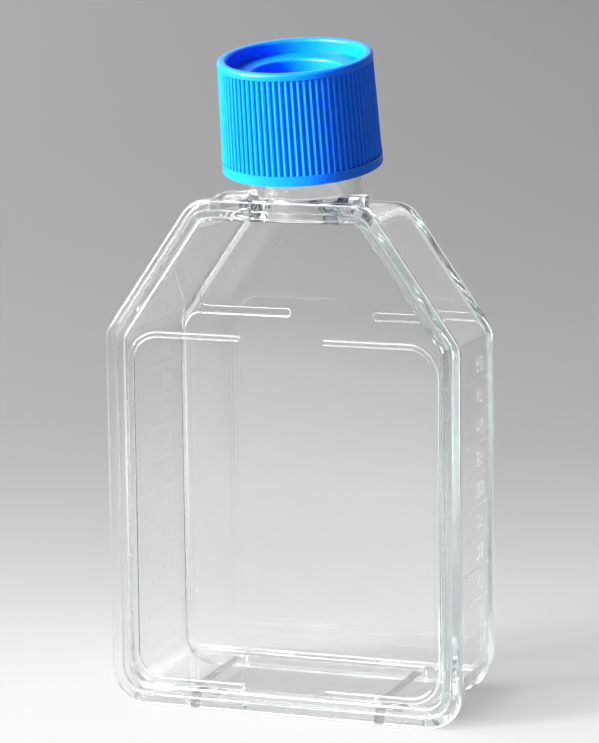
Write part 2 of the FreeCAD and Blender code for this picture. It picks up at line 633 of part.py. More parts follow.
# ---- graduations: fine ridges on both side walls, long and short in turn
WALL_EDGE = "{rim_width} / 2 - {wall_inset_back}"
wall_edge = SIZE["rim_width"] / 2 - SIZE["wall_inset_back"]
for side, hand in ((1, "right"), (-1, "left")):
    sign = "" if side > 0 else "-"
    for rank in ("major", "minor"):
        near = (side * (wall_edge - SIZE["mark_sink"]), sign + "(" + WALL_EDGE + " - {mark_sink})")
        far = (side * (wall_edge + SIZE["mark_rise"]), sign + "(" + WALL_EDGE + " + {mark_rise})")
        left, right = (near, far) if side > 0 else (far, near)
        first, half = SIZE[rank + "_first"], SIZE["mark_width"] / 2
        mark_sketch = box_sketch(
            tray, f"{rank}_{hand}_sketch", "{mark_end}", left, right,
            (first - half, "{" + rank + "_first} - {mark_width} / 2"),
            (first + half, "{" + rank + "_first} + {mark_width} / 2"))
        mark = pad(tray, f"{rank}_{hand}", mark_sketch, "{" + rank + "_start} - {mark_end}",
                   UseCustomVector=True, AlongSketchNormal=True)
        mark.Direction = Vector(0, -1, 0)
        bind(mark, "Direction.x", sign + "({wall_inset_back} - {wall_inset_front}) / "
             "({body_depth} - {rim_thickness} - {rim_slope} - {foot_thickness})")
        row = tray.newObject("PartDesign::LinearPattern", f"{rank}_{hand}_row")
        row.Originals = [mark]
        row.Direction = (origin_feature(tray, "Z_Axis"), [""])
        row.Mode = "Spacing"
        bind(row, "Offset", "{mark_pitch}")
        bind(row, "Occurrences", "{mark_count}")
        tray.Tip = row
doc.recompute()

# ---- inside: one cavity, open at the front, with a rebate for the cover plate
inner_back = size_pair("wall_inset_back", "wall_thickness")
inner_front = size_pair("wall_inset_front", "wall_thickness")
cavity_back = outline_sketch(tray, "cavity_back", "{panel_thickness}", inner_back,
                             back_radii(size_pair("wall_thickness")))
cavity_front = outline_sketch(tray, "cavity_front", RIM_FRONT, inner_front,
                              rim_radii(inner_front))
cavity = feature(tray, "SubtractiveLoft", "cavity", cavity_back,
                 Sections=[cavity_front], Ruled=True)
seat_inset = size_pair("rim_land")
seat_outline = outline_sketch(tray, "seat_outline", RIM_FRONT, seat_inset, rim_radii(seat_inset))
seat = pocket(tray, "seat", seat_outline, "{seat_depth}")
doc.recompute()
seam_edge = round_edges(tray, "seam_edge", seat,
                        fresh_edges(cavity.Shape, seat.Shape, SIZE["body_depth"]),
                        "{seam_round}")
doc.recompute()
round_edges(tray, "inner_edge", seam_edge,
            edges_at_station(seam_edge.Shape, SIZE["panel_thickness"]),
            "{inner_edge_radius}")

# the neck's bore opens into the cavity
bore_profile = leaning_sketch("bore_profile")
bore_radius = SIZE["neck_radius"] - SIZE["neck_wall"]
bore_low, bore_high = -SIZE["neck_root"], mouth + SIZE["neck_wall"]
polygon(bore_profile,
        [(0, bore_low), (bore_radius, bore_low), (bore_radius, bore_high), (0, bore_high)],
        [("0", "-{neck_root}"), ("{neck_radius} - {neck_wall}", "-{neck_root}"),
         ("{neck_radius} - {neck_wall}", MOUTH + " + {neck_wall}"),
         ("0", MOUTH + " + {neck_wall}")])
bore = feature(tray, "Groove", "bore", bore_profile,
               ReferenceAxis=(bore_profile, ["V_Axis"]), Angle=360.0)
doc.recompute()
round_edges(tray, "neck_lip", bore, mouth_edges(bore.Shape), "{neck_lip_round}")

# ---- the growth face: two recesses inside the border, with a broken bar between them
BORDER_BACK = "-{border_rise}"
BAR_MIDDLE = "{shoulder_height} + {crossbar_lift}"
BAR_LOW = BAR_MIDDLE + " - {crossbar_width} / 2"
BAR_HIGH = BAR_MIDDLE + " + {crossbar_width} / 2"
bar_middle = SIZE["shoulder_height"] + SIZE["crossbar_lift"]
bar_low = bar_middle - SIZE["crossbar_width"] / 2
bar_high = bar_middle + SIZE["crossbar_width"] / 2
recess_inset = size_pair("wall_inset_back", "border_width")
recess_side = (SIZE["rim_width"] / 2 - recess_inset[0],
               "{rim_width} / 2 - (" + recess_inset[1] + ")")
recess_foot = size_pair("border_foot", "border_width")
corner = size_pair("recess_corner")
growth_outline = symmetric_sketch(tray, "growth_outline", BORDER_BACK, [
    (recess_side, recess_foot, corner), (recess_side, (bar_low, BAR_LOW), corner)])
pocket(tray, "growth_recess", growth_outline, "{border_rise}", Reversed=True)

# the upper recess follows the slanted shoulders, so its foot is narrower than the lower one
above_elbow = bar_high - SIZE["shoulder_height"] + recess_inset[0] * math.tan(slant / 2)
ABOVE_ELBOW = (BAR_HIGH + " - {shoulder_height} + (" + recess_inset[1] + ") * " + SHOULDER_SHIFT)
upper_side = (recess_side[0] - above_elbow * math.tan(slant),
              recess_side[1] + " - (" + ABOVE_ELBOW + ") * tan(" + SLANT + ")")
upper_outline = symmetric_sketch(tray, "upper_outline", BORDER_BACK, [
    (upper_side, (bar_high, BAR_HIGH), size_pair("recess_bar_corner")),
    (*crest_corner(recess_inset), back_radii(size_pair("border_width"))[2])])
pocket(tray, "upper_recess", upper_outline, "{border_rise}", Reversed=True)

half_gap = SIZE["crossbar_gap"] / 2
bar_gap_sketch = box_sketch(
    tray, "bar_gap_sketch", BORDER_BACK, (-half_gap, "-{crossbar_gap} / 2"),
    (half_gap, "{crossbar_gap} / 2"), (bar_low, BAR_LOW), (bar_high, BAR_HIGH))
pocket(tray, "bar_gap", bar_gap_sketch, "{border_rise}", Reversed=True)
half_foot_gap = SIZE["border_gap"] / 2
foot_gap_sketch = box_sketch(
    tray, "foot_gap_sketch", BORDER_BACK, (-half_foot_gap, "-{border_gap} / 2"),
    (half_foot_gap, "{border_gap} / 2"), size_pair("border_foot"), recess_foot)
foot_gap = pocket(tray, "foot_gap", foot_gap_sketch, "{border_rise}", Reversed=True)
doc.recompute()
bar_ends = round_edges(tray, "bar_ends", foot_gap, depth_edges(foot_gap.Shape, half_gap),
                       "{crossbar_end_round}")
doc.recompute()
round_edges(tray, "border_crest", bar_ends,
            edges_at_station(bar_ends.Shape, -SIZE["border_rise"]),
            "{border_round}")
bind(tray, "Placement.Base.y", FRAME_SHIFT)

# ---------------------------------------------------------------- cover plate
cover = new_body("cover_plate")
COVER_FRONT = RIM_FRONT + " - {cover_drop}"
WINDOW_FRONT = COVER_FRONT + " - {window_drop}"

edge_inset = size_pair("rim_land", "seam_gap")
edge_outline = outline_sketch(cover, "edge_outline", COVER_FRONT, edge_inset,
                              rim_radii(edge_inset))
edge_plate = pad(cover, "edge_plate", edge_outline,
                 "{seat_depth} - {seam_gap} - {cover_drop}", Reversed=True)
doc.recompute()
cover_front = SIZE["body_depth"] - SIZE["cover_drop"]
round_edges(cover, "plate_edge", edge_plate,
            edges_at_station(edge_plate.Shape, cover_front), "{seam_round}")
# the spigot fills the mouth of the cavity, so the window stays one thickness
spigot_inset = size_pair("wall_inset_front", "wall_thickness", "spigot_gap")
spigot_outline = outline_sketch(cover, "spigot_outline", WINDOW_FRONT, spigot_inset,
                                rim_radii(spigot_inset))
spigot = pad(cover, "spigot", spigot_outline, "{window_thickness}", Reversed=True)
window_inset = size_pair("window_inset")
window_outline = outline_sketch(cover, "window_outline", COVER_FRONT, window_inset,
                                rim_radii(window_inset))
window = pocket(cover, "window", window_outline, "{window_drop}")
doc.recompute()
round_edges(cover, "window_edge", window,
            fresh_edges(spigot.Shape, window.Shape, cover_front),
            "{window_round}")

bead_profile = plane_sketch(cover, "bead_profile", station=WINDOW_FRONT)
bead_outline(bead_profile)
bead = pad(cover, "bead", bead_profile, "{bead_rise}")
bead_twin = mirror(cover, "bead_twin", [bead])
doc.recompute()
bead_top = cover_front - SIZE["window_drop"] + SIZE["bead_rise"]
round_edges(cover, "bead_crest", bead_twin,
            edges_at_station(bead_twin.Shape, bead_top), "{bead_round}")
half_bead = SIZE["bead_width"] / 2
lug_sketch = box_sketch(
    cover, "lug_sketch", WINDOW_FRONT,
    (SIZE["bead_gap"] / 2, "{bead_gap} / 2"),
    (SIZE["bead_gap"] / 2 + SIZE["lug_length"], "{bead_gap} / 2 + {lug_length}"),
    (SIZE["bead_inset"] - half_bead, "{bead_inset} - {bead_width} / 2"),
    (SIZE["bead_inset"] + half_bead, "{bead_inset} + {bead_width} / 2"))
lug = pad(cover, "lug", lug_sketch, "{bead_rise} + {lug_rise}")
lug_twin = mirror(cover, "lug_twin", [lug])
doc.recompute()
round_edges(cover, "lug_crest", lug_twin,
            edges_at_station(lug_twin.Shape, bead_top + SIZE["lug_rise"]), "{lug_round}")

gate_sketch = plane_sketch(cover, "gate_sketch", station=WINDOW_FRONT)
gate_height = SIZE["rim_height"] - SIZE["gate_drop"]
for radius in ("gate_radius", "gate_dimple"):
    ring = gate_sketch.addGeometry(
        Part.Circle(Vector(0, gate_height, 0), Vector(0, 0, 1), SIZE[radius]))
    gate_sketch.addConstraint(Sketcher.Constraint("PointOnObject", ring, CENTRE, UPRIGHT_AXIS))
    dimension(gate_sketch, radius, "Radius", (ring,), SIZE[radius], "{" + radius + "}")
    dimension(gate_sketch, radius + "_up", "DistanceY", (*ORIGIN, ring, CENTRE),
              gate_height, "{rim_height} - {gate_drop}")
pad(cover, "gate", gate_sketch, "{gate_rise}")
bind(cover, "Placement.Base.y", FRAME_SHIFT)

# ---------------------------------------------------------------- screw cap
cap = new_body("screw_cap")


def cap_sketch(name):
    """A sketch in the cap's middle plane: its upright axis is the cap's axis."""
    return plane_sketch(cap, name, role="YZ_Plane")


CAP_TOP = "{cap_base} + {cap_height}"
LIP_FOOT = CAP_TOP + " - {cap_lip_height}"
LEDGE_TOP = CAP_TOP + " - {recess_depth}"
LEDGE_FOOT = LEDGE_TOP + " - {ledge_thickness}"
PLUG_FOOT = LEDGE_FOOT + " - {plug_length}"
cap_top = SIZE["cap_base"] + SIZE["cap_height"]
lip_foot = cap_top - SIZE["cap_lip_height"]
ledge_top = cap_top - SIZE["recess_depth"]
ledge_foot = ledge_top - SIZE["ledge_thickness"]
plug_foot = ledge_foot - SIZE["plug_length"]
band_top = SIZE["cap_base"] + SIZE["cap_band_height"]
inside = SIZE["neck_radius"] + SIZE["thread_rise"] + SIZE["thread_gap"]
INSIDE = "{neck_radius} + {thread_rise} + {thread_gap}"
plug_radius = SIZE["neck_radius"] - SIZE["neck_wall"] - SIZE["plug_fit"]
PLUG = "{neck_radius} - {neck_wall} - {plug_fit}"
recess_radius = SIZE["cap_lip_radius"] - SIZE["cap_lip_width"]
RECESS = "{cap_lip_radius} - {cap_lip_width}"
CHAMFER_TOP = "{cap_base} + {skirt_chamfer}"

cap_profile = cap_sketch("cap_profile")
profile = [
    (inside + SIZE["skirt_chamfer"], SIZE["cap_base"], INSIDE + " + {skirt_chamfer}",
     "{cap_base}"),
    (SIZE["cap_band_radius"], SIZE["cap_base"], "{cap_band_radius}", "{cap_base}"),
    (SIZE["cap_band_radius"], band_top, "{cap_band_radius}", "{cap_base} + {cap_band_height}"),
    (SIZE["cap_foot_radius"], band_top, "{cap_foot_radius}", "{cap_base} + {cap_band_height}"),
    (SIZE["cap_head_radius"], lip_foot, "{cap_head_radius}", LIP_FOOT),
    (SIZE["cap_lip_radius"], lip_foot, "{cap_lip_radius}", LIP_FOOT),
    (SIZE["cap_lip_radius"], cap_top, "{cap_lip_radius}", CAP_TOP),
    (recess_radius, cap_top, RECESS, CAP_TOP),
    (recess_radius, ledge_top, RECESS, LEDGE_TOP),
    (SIZE["hollow_radius"], ledge_top, "{hollow_radius}", LEDGE_TOP),
    (SIZE["hollow_foot_radius"], plug_foot + SIZE["plug_floor"], "{hollow_foot_radius}",
     PLUG_FOOT + " + {plug_floor}"),
    (0, plug_foot + SIZE["plug_floor"], "0", PLUG_FOOT + " + {plug_floor}"),
    (0, plug_foot, "0", PLUG_FOOT),
    (plug_radius - SIZE["plug_taper"], plug_foot, PLUG + " - {plug_taper}", PLUG_FOOT),
    (plug_radius, ledge_foot, PLUG, LEDGE_FOOT),
    (inside, ledge_foot, INSIDE, LEDGE_FOOT),
    (inside, SIZE["cap_base"] + SIZE["skirt_chamfer"], INSIDE, CHAMFER_TOP),
]
polygon(cap_profile, [corner[:2] for corner in profile], [corner[2:] for corner in profile])
shell = feature(cap, "Revolution", "shell", cap_profile,
                ReferenceAxis=(cap_profile, ["V_Axis"]), Angle=360.0)
doc.recompute()
lip_edges = ring_edges(shell.Shape, cap_top)
lip_round = round_edges(cap, "lip_round", shell, lip_edges, "{cap_lip_round}")
doc.recompute()
hollow_edges = ring_edges(lip_round.Shape, ledge_top, SIZE["hollow_radius"])
round_edges(cap, "hollow_round", lip_round, hollow_edges, "{hollow_round}")

# grip ribs: five-sided bars that follow the skirt's taper from the band to just under the lip
rib_sketch = cap.newObject("Sketcher::SketchObject", "rib_sketch")
rib_sketch.AttachmentSupport = [(origin_feature(cap, "XY_Plane"), "")]
rib_sketch.MapMode = "FlatFace"
bind(rib_sketch, "AttachmentOffset.Base.z", "{cap_base} + {cap_band_height} / 2")
half_rib, half_shoulder = SIZE["rib_width"] / 2, SIZE["rib_shoulder_width"] / 2
skirt = SIZE["cap_foot_radius"]
rib_root, rib_shoulder = skirt - SIZE["rib_sink"], skirt + SIZE["rib_shoulder_rise"]
RIB_ROOT = "{cap_foot_radius} - {rib_sink}"
RIB_SHOULDER = "{cap_foot_radius} + {rib_shoulder_rise}"
polygon(rib_sketch,
        [(rib_root, -half_rib), (skirt, -half_rib), (rib_shoulder, -half_shoulder),
         (skirt + SIZE["rib_rise"], 0), (rib_shoulder, half_shoulder), (skirt, half_rib),
         (rib_root, half_rib)],
        [(RIB_ROOT, "-{rib_width} / 2"), ("{cap_foot_radius}", "-{rib_width} / 2"),
         (RIB_SHOULDER, "-{rib_shoulder_width} / 2"), ("{cap_foot_radius} + {rib_rise}", "0"),
         (RIB_SHOULDER, "{rib_shoulder_width} / 2"), ("{cap_foot_radius}", "{rib_width} / 2"),
         (RIB_ROOT, "{rib_width} / 2")])
rib = pad(cap, "rib", rib_sketch,
          LIP_FOOT + " + {cap_lip_round} - {cap_base} - {cap_band_height} / 2",
          UseCustomVector=True, AlongSketchNormal=True)
rib.Direction = Vector(0, 0, 1)
bind(rib, "Direction.x", "({cap_head_radius} - {cap_foot_radius}) / "
     "({cap_height} - {cap_lip_height} - {cap_band_height})")
doc.recompute()
ribs = cap.newObject("PartDesign::PolarPattern", "ribs")
ribs.Originals = [rib]
ribs.Axis = (origin_feature(cap, "Z_Axis"), [""])
ribs.Angle = 360.0
bind(ribs, "Occurrences", "{rib_count}")
cap.Tip = ribs

cap.Placement = Placement(Vector(), Rotation(Vector(1, 0, 0), SIZE["neck_lean"]))
bind(cap, "Placement.Base.y", FRAME_SHIFT + " - {neck_station}")
bind(cap, "Placement.Base.z", "{rim_height}")
bind(cap, "Placement.Rotation.Angle", "{neck_lean} * 1 deg")
doc.recompute()

# ---------------------------------------------------------------- checks, then the files
for item in doc.Objects:
    if "Invalid" in item.State or "Error" in item.State:
        raise RuntimeError(f"{item.Name} failed: {item.State}")

pieces = [tray, cover, cap]
for piece in pieces:
    if piece.Shape.isNull() or not piece.Shape.isValid() or len(piece.Shape.Solids) != 1:
        raise RuntimeError(f"{piece.Label} is not one valid solid")
    print(f"{piece.Label}: {piece.Shape.Volume:.1f} mm3")

os.makedirs("parts", exist_ok=True)
for piece in pieces:
    piece.Shape.exportStep(f"parts/{piece.Label}.step")
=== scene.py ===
# %% [markdown]
# # A cell culture flask with a blue screw cap
#
# The flask is a flat clear box with sloping shoulders, moulded in polystyrene and closed at
# the front by a welded plate. Its neck leans forward and carries a ribbed polyethylene cap.
#
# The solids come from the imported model, at their real size and place, in metres. This lesson
# gives them their finishes, adds the small things that ride on them, and lights them. Most of
# the work is in the surroundings, because clear plastic shows little else.

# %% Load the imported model
import math

import bmesh
import bpy
from mathutils import Matrix, Vector


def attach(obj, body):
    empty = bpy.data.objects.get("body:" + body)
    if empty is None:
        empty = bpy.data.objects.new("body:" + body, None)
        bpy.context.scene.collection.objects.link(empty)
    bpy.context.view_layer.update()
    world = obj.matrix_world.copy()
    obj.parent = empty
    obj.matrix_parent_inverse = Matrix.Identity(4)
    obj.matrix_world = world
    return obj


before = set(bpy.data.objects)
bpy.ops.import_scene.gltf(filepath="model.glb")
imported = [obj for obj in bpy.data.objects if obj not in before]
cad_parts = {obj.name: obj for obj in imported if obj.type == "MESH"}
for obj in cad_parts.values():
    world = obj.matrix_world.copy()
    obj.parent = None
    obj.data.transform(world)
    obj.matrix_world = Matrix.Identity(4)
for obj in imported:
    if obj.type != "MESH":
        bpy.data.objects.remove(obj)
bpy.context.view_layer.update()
MM = 0.001
flask_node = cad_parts["flask_body"]
plate_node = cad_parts["cover_plate"]
cap_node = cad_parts["screw_cap"]
print("solids:", ", ".join(sorted(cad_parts)))

# %% [markdown]
# ## The camera
#
# A small object looks calm and true to its proportions from a distance, so the lens is long.
# The camera stands to the right of the flask's front and a little above it. An empty and a
# Track To constraint could aim it, but a matrix built from the camera's own right, up and
# back directions also takes the slight roll of a tripod that was set by hand.

# %% Work out the camera's directions
AZIMUTH, ELEVATION, ROLL = (math.radians(angle) for angle in (20.91, 9.86, -0.69))
DISTANCE = 0.4926
AIM = Vector((-0.0002, 0.0009, 0.04705))

back = Vector((
    math.sin(AZIMUTH) * math.cos(ELEVATION),
    -math.cos(AZIMUTH) * math.cos(ELEVATION),
    math.sin(ELEVATION),
))
level = Vector((math.cos(AZIMUTH), math.sin(AZIMUTH), 0.0))
right = Matrix.Rotation(ROLL, 3, back) @ level
up = back.cross(right)
eye = AIM + back * DISTANCE
print("camera mm from the table:", round(eye.z / MM, 1))

# %% Set the camera
SENSOR, LENS = 36.0, 168.9
SHIFT_X, SHIFT_Y = -0.00735, 0.00439
NEAREST, FARTHEST = 0.01, 20.0

scene = bpy.context.scene
camera_data = bpy.data.cameras.new("studio_camera")
camera_data.lens = LENS
camera_data.sensor_fit = "AUTO"
camera_data.sensor_width = SENSOR
camera_data.shift_x = SHIFT_X
camera_data.shift_y = SHIFT_Y
camera_data.clip_start = NEAREST
camera_data.clip_end = FARTHEST
camera = bpy.data.objects.new("studio_camera", camera_data)
scene.collection.objects.link(camera)
camera.matrix_world = Matrix((
    (right.x, up.x, back.x, eye.x),
    (right.y, up.y, back.y, eye.y),
    (right.z, up.z, back.z, eye.z),
    (0.0, 0.0, 0.0, 1.0),
))
scene.camera = camera
print("lens:", LENS, "mm on a", SENSOR, "mm sensor")

# %% [markdown]
# ## Node helpers
#
# Every finish below is a small node tree. Trees can be drawn in the shader editor, but in a
# script each node takes several lines, so four helpers keep them short: one adds a node and
# fills its sockets, one works out a value from two others, one makes a colour ramp, and one
# starts a material.


# %% Helpers for node trees
def node(tree, kind, **sockets):
    """Adds a node and fills its input sockets, by value or by link.

    A key is the socket's name with _ for a space, or _ and the socket's number.
    """
    made = tree.nodes.new(kind)
    for name, value in sockets.items():
        key = int(name[1:]) if name[1:].isdigit() else name.replace("_", " ")
        if isinstance(value, bpy.types.NodeSocket):
            tree.links.new(value, made.inputs[key])
        else:
            made.inputs[key].default_value = value
    return made


def reckon(tree, kind, operation, first, second):
    """A math or vector math node that works out one result from two values."""
    made = node(tree, kind, _0=first, _1=second)
    made.operation = operation
    return made


def ramp(tree, factor, stops, interpolation="LINEAR"):
    """A colour ramp through (place, grey or colour) stops."""
    made = node(tree, "ShaderNodeValToRGB", Fac=factor)
    made.color_ramp.interpolation = interpolation
    elements = made.color_ramp.elements
    while len(elements) < len(stops):
        elements.new(0.5)
    for element, (place, colour) in zip(elements, stops):
        element.position = place
        element.color = (*colour, 1.0) if isinstance(colour, tuple) else (colour,) * 3 + (1.0,)
    return made.outputs["Color"]


def new_material(name):
    """An empty node material, its tree and its output node."""
    material = bpy.data.materials.new(name)
    material.use_nodes = True
    tree = material.node_tree
    tree.nodes.clear()
    return material, tree, tree.nodes.new("ShaderNodeOutputMaterial")


print("helpers for node trees: node, reckon, ramp, new_material")

# %% [markdown]
# ## The paper
#
# The flask stands on a sheet of white paper, large enough to run out of sight behind it and
# turned so that its own Y axis points away from the camera. The plane operator would make
# it, but an operator works on the selection and on the scene's state. Four corners and one
# face, given straight to a mesh, come out the same each time, and the softbox below is
# another such sheet.


# %% Lay the paper
def flat_sheet(name, half_width, half_depth):
    """A rectangle about the origin, which belongs to the stage and not to the flask."""
    mesh = bpy.data.meshes.new(name)
    mesh.from_pydata(
        [(-half_width, -half_depth, 0), (half_width, -half_depth, 0),
         (half_width, half_depth, 0), (-half_width, half_depth, 0)],
        [], [(0, 1, 2, 3)])
    sheet = bpy.data.objects.new(name, mesh)
    scene.collection.objects.link(sheet)
    return sheet


PAPER_HALF = 3.0
paper = flat_sheet("paper", PAPER_HALF, PAPER_HALF)
paper.rotation_euler.z = AZIMUTH
print("paper:", 2 * PAPER_HALF, "m square")

# %% [markdown]
# ## The shade behind the flask
#
# The paper is light at the flask's foot and falls to a middle grey behind it, because the
# lamps stand close. A lamp that really falls off so fast would burn out the front, so the
# paper carries the shade itself, painted as a ramp along its Y axis. The ramp starts well in
# front of the flask, since the plate mirrors the paper that lies there: a band a little in
# front is painted lighter and the paper beyond it painted darker, as painted reflection in the
# plate.

# %% How light the paper is
PAPER_START, PAPER_SPAN = -0.4, 2.0
# metres behind the flask, and the painted shade of the paper there; the light band in front and
# the dark start are painted reflection for the plate
PAPER_SHADES = (
    (-0.40, 0.16), (-0.245, 0.19), (-0.225, 0.35), (-0.185, 0.365), (-0.155, 0.44),
    (-0.13, 0.50), (-0.10, 0.50), (-0.06, 0.36), (-0.05, 0.354),
    (-0.015, 0.354), (0.01, 0.346), (0.037, 0.312), (0.067, 0.270), (0.10, 0.237),
    (0.138, 0.210), (0.18, 0.187), (0.228, 0.175), (0.348, 0.161), (0.516, 0.151),
    (0.765, 0.145), (1.55, 0.139),
)
print("paper shades:", len(PAPER_SHADES), "over", PAPER_SPAN, "m")

# %% Lead the shade along the paper
paper_look, tree, output = new_material("white_paper")
place = node(tree, "ShaderNodeTexCoord")
split = node(tree, "ShaderNodeSeparateXYZ", Vector=place.outputs["Object"])
away = node(tree, "ShaderNodeMapRange", Value=split.outputs["Y"], From_Min=PAPER_START,
            From_Max=PAPER_START + PAPER_SPAN)


def by_distance(profile, interpolation):
    """A ramp through (metres behind the flask, value) pairs."""
    stops = [((metres - PAPER_START) / PAPER_SPAN, value) for metres, value in profile]
    return ramp(tree, away.outputs["Result"], stops, interpolation)


shade = by_distance(PAPER_SHADES, "LINEAR")
print("shade starts", -PAPER_START, "m in front of the flask")

# %% [markdown]
# ## The change from left to right
#
# Two smaller changes are painted across the paper, along its X axis. It darkens evenly from
# left to right, as painted shade away from the lamps. At the far left beside the flask a pool
# of light is painted on, and the left flanks of the rim and of the beads mirror it as their
# white lines. A second lamp could light that strip, but it would throw a second shadow.

# %% Painted fade and glow across the paper
FADE_HALF, RIGHT_SHADE = 0.20, 0.73
GLOW_EDGE, GLOW_FULL = -0.09, -0.20
# metres behind the flask, and how much of the painted glow is there
PAINTED_GLOW_SHARES = ((-0.08, 0.0), (-0.02, 1.0), (0.12, 1.0), (0.30, 0.0))

# painted shade: the paper darkens from left to right, away from the lamps
across = node(tree, "ShaderNodeMapRange", Value=split.outputs["X"], From_Min=-FADE_HALF,
              From_Max=FADE_HALF, To_Min=1.0, To_Max=RIGHT_SHADE)
# painted light: a pool of light on the paper at the far left, mirrored by the rim and beads as
# white lines
painted_glow_mask = node(tree, "ShaderNodeMapRange", Value=split.outputs["X"], From_Min=GLOW_EDGE,
                From_Max=GLOW_FULL, To_Min=0.0, To_Max=1.0)
painted_glow_mask.interpolation_type = "SMOOTHSTEP"
painted_glow = reckon(tree, "ShaderNodeMath", "MULTIPLY", painted_glow_mask.outputs["Result"],
              by_distance(PAINTED_GLOW_SHARES, "EASE"))
gain = reckon(tree, "ShaderNodeMath", "ADD", across.outputs["Result"], painted_glow.outputs["Value"])
tone = reckon(tree, "ShaderNodeVectorMath", "MULTIPLY", shade, gain.outputs["Value"])
fibres = node(tree, "ShaderNodeBsdfDiffuse", Color=tone.outputs["Vector"])
tree.links.new(fibres.outputs["BSDF"], output.inputs["Surface"])
paper.data.materials.append(paper_look)
print("paper's finish:", paper_look.name, "with", len(tree.nodes), "nodes")

# %% [markdown]
# ## The room's brighter side
#
# The world stands for the room. It is lightest towards the lamps, at the left and in front,
# and falls away to the right and behind. An environment image could give that, but one dot
# product is enough: it tells how far the way of a ray agrees with the lamps' side.

# %% Find the lamps' side
LAMP_SIDE = (-0.92, -0.38, 0.10)

world = bpy.data.worlds.new("studio")
scene.world = world
world.use_nodes = True
tree = world.node_tree
tree.nodes.clear()
direction = node(tree, "ShaderNodeTexCoord").outputs["Generated"]
sideways = reckon(tree, "ShaderNodeVectorMath", "DOT_PRODUCT", direction, LAMP_SIDE)
spread = node(tree, "ShaderNodeMapRange", Value=sideways.outputs["Value"], From_Min=-1.0,
              From_Max=1.0)
print("lamps' side of the room:", LAMP_SIDE)

# %% [markdown]
# ## The room in two readings
#
# The same room is read twice. Rough surfaces gather its light, so for them it is dim and
# leaves the cap a dark side. Mirrored and refracted rays see it as pale walls under a bright
# ceiling, which gives the clear rim its white edges. With one reading for both, either the
# rim would be grey or the shadow would be washed out.

# %% Paint the walls and the ceiling
# from the side away from the lamps (0) to the lamps' side (1)
GATHERED = [(0.0, 0.02), (0.35, 0.06), (0.62, 0.33), (0.85, 0.72)]
WALLS = [(0.0, 0.55), (0.35, 0.60), (0.62, 0.70), (0.85, 0.80)]
CEILING_EDGE, CEILING_FULL = 0.28, 0.60
CEILING_GAIN = 2.6

ambience = ramp(tree, spread.outputs["Result"], GATHERED, "EASE")
walls = ramp(tree, spread.outputs["Result"], WALLS, "EASE")
upward = node(tree, "ShaderNodeSeparateXYZ", Vector=direction).outputs["Z"]
overhead = node(tree, "ShaderNodeMapRange", Value=upward, From_Min=CEILING_EDGE,
                From_Max=CEILING_FULL, To_Min=1.0, To_Max=CEILING_GAIN)
room = reckon(tree, "ShaderNodeVectorMath", "MULTIPLY", walls, overhead.outputs["Result"])
print("ceiling starts at", round(math.degrees(math.asin(CEILING_EDGE))), "degrees")

# %% Give each ray its reading
rays = node(tree, "ShaderNodeLightPath")
mirrored = reckon(tree, "ShaderNodeMath", "MAXIMUM", rays.outputs["Is Glossy Ray"],
                  rays.outputs["Is Transmission Ray"])
reading = node(tree, "ShaderNodeMix", _0=mirrored.outputs["Value"], _6=ambience,
               _7=room.outputs["Vector"])
reading.data_type = "RGBA"
air = node(tree, "ShaderNodeBackground", Color=reading.outputs[2], Strength=1.0)
tree.links.new(air.outputs["Background"],
               node(tree, "ShaderNodeOutputWorld").inputs["Surface"])
print("room:", world.name, "with", len(tree.nodes), "nodes")

# %% [markdown]
# ## The key light
#
# The light comes low from the front left and throws the flask's shadow to the right and
# back. A large soft source alone leaves no edge in the shadow, and a small one alone makes
# the cap's ribs hard. Two suns from the same place share the work: a wide one for the form,
# and a narrow one for the darker wedge that starts at the flask's foot.

# %% Hang the key light
KEY_SLOPE = math.radians(20.0)
KEY_WAY = Vector((0.732, 0.681, -math.tan(KEY_SLOPE)))
# name, strength, and how wide the source looks in degrees
KEY_SOURCES = (("key_lamp", 16.5, 34.0), ("key_core", 8.5, 6.0))

for name, strength, width in KEY_SOURCES:
    lamp = bpy.data.lights.new(name, "SUN")
    lamp.energy = strength
    lamp.angle = math.radians(width)
    key = bpy.data.objects.new(name, lamp)
    key.rotation_mode = "QUATERNION"
    key.rotation_quaternion = KEY_WAY.to_track_quat("-Z", "Y")
    scene.collection.objects.link(key)
    print(name, "is", width, "degrees wide")

# %% [markdown]
# ## The softbox
#
# The upper flanks of the stacking beads carry clean white lines, which are the mirror image
# of a softbox above the front left. It is a glowing sheet that only reflections can see. As
# an area lamp it would also light the paper and wash out the shadow.

# %% Hang the softbox
SOFTBOX_WAY = Vector((-0.50, -0.50, 0.70))
SOFTBOX_REACH = 0.7
SOFTBOX_HALF_WIDTH, SOFTBOX_HALF_DEPTH = 0.35, 0.22
SOFTBOX_GLOW = 12.0

softbox = flat_sheet("softbox_card", SOFTBOX_HALF_WIDTH, SOFTBOX_HALF_DEPTH)
softbox.location = AIM + SOFTBOX_WAY * SOFTBOX_REACH
softbox.rotation_mode = "QUATERNION"
softbox.rotation_quaternion = SOFTBOX_WAY.to_track_quat("Z", "Y")
softbox.visible_camera = False
softbox.visible_diffuse = False
softbox.visible_shadow = False
cloth_look, tree, output = new_material("softbox_cloth")
cloth = node(tree, "ShaderNodeEmission", Strength=SOFTBOX_GLOW)
tree.links.new(cloth.outputs["Emission"], output.inputs["Surface"])
softbox.data.materials.append(cloth_look)
print("softbox m above the table:", round(softbox.location.z, 2))

# %% [markdown]
# ## How far light is followed
#
# Light that enters the rim of a clear flask is mirrored inside it many times before it gets
# out. A path that is cut short is black, and black bands along the rim are the usual sign, so
# the limits here are well above the defaults. Light that is bent onto the paper is left out,
# because the shadow of the clear plastic already lets light through, and the two together
# would light the paper twice.

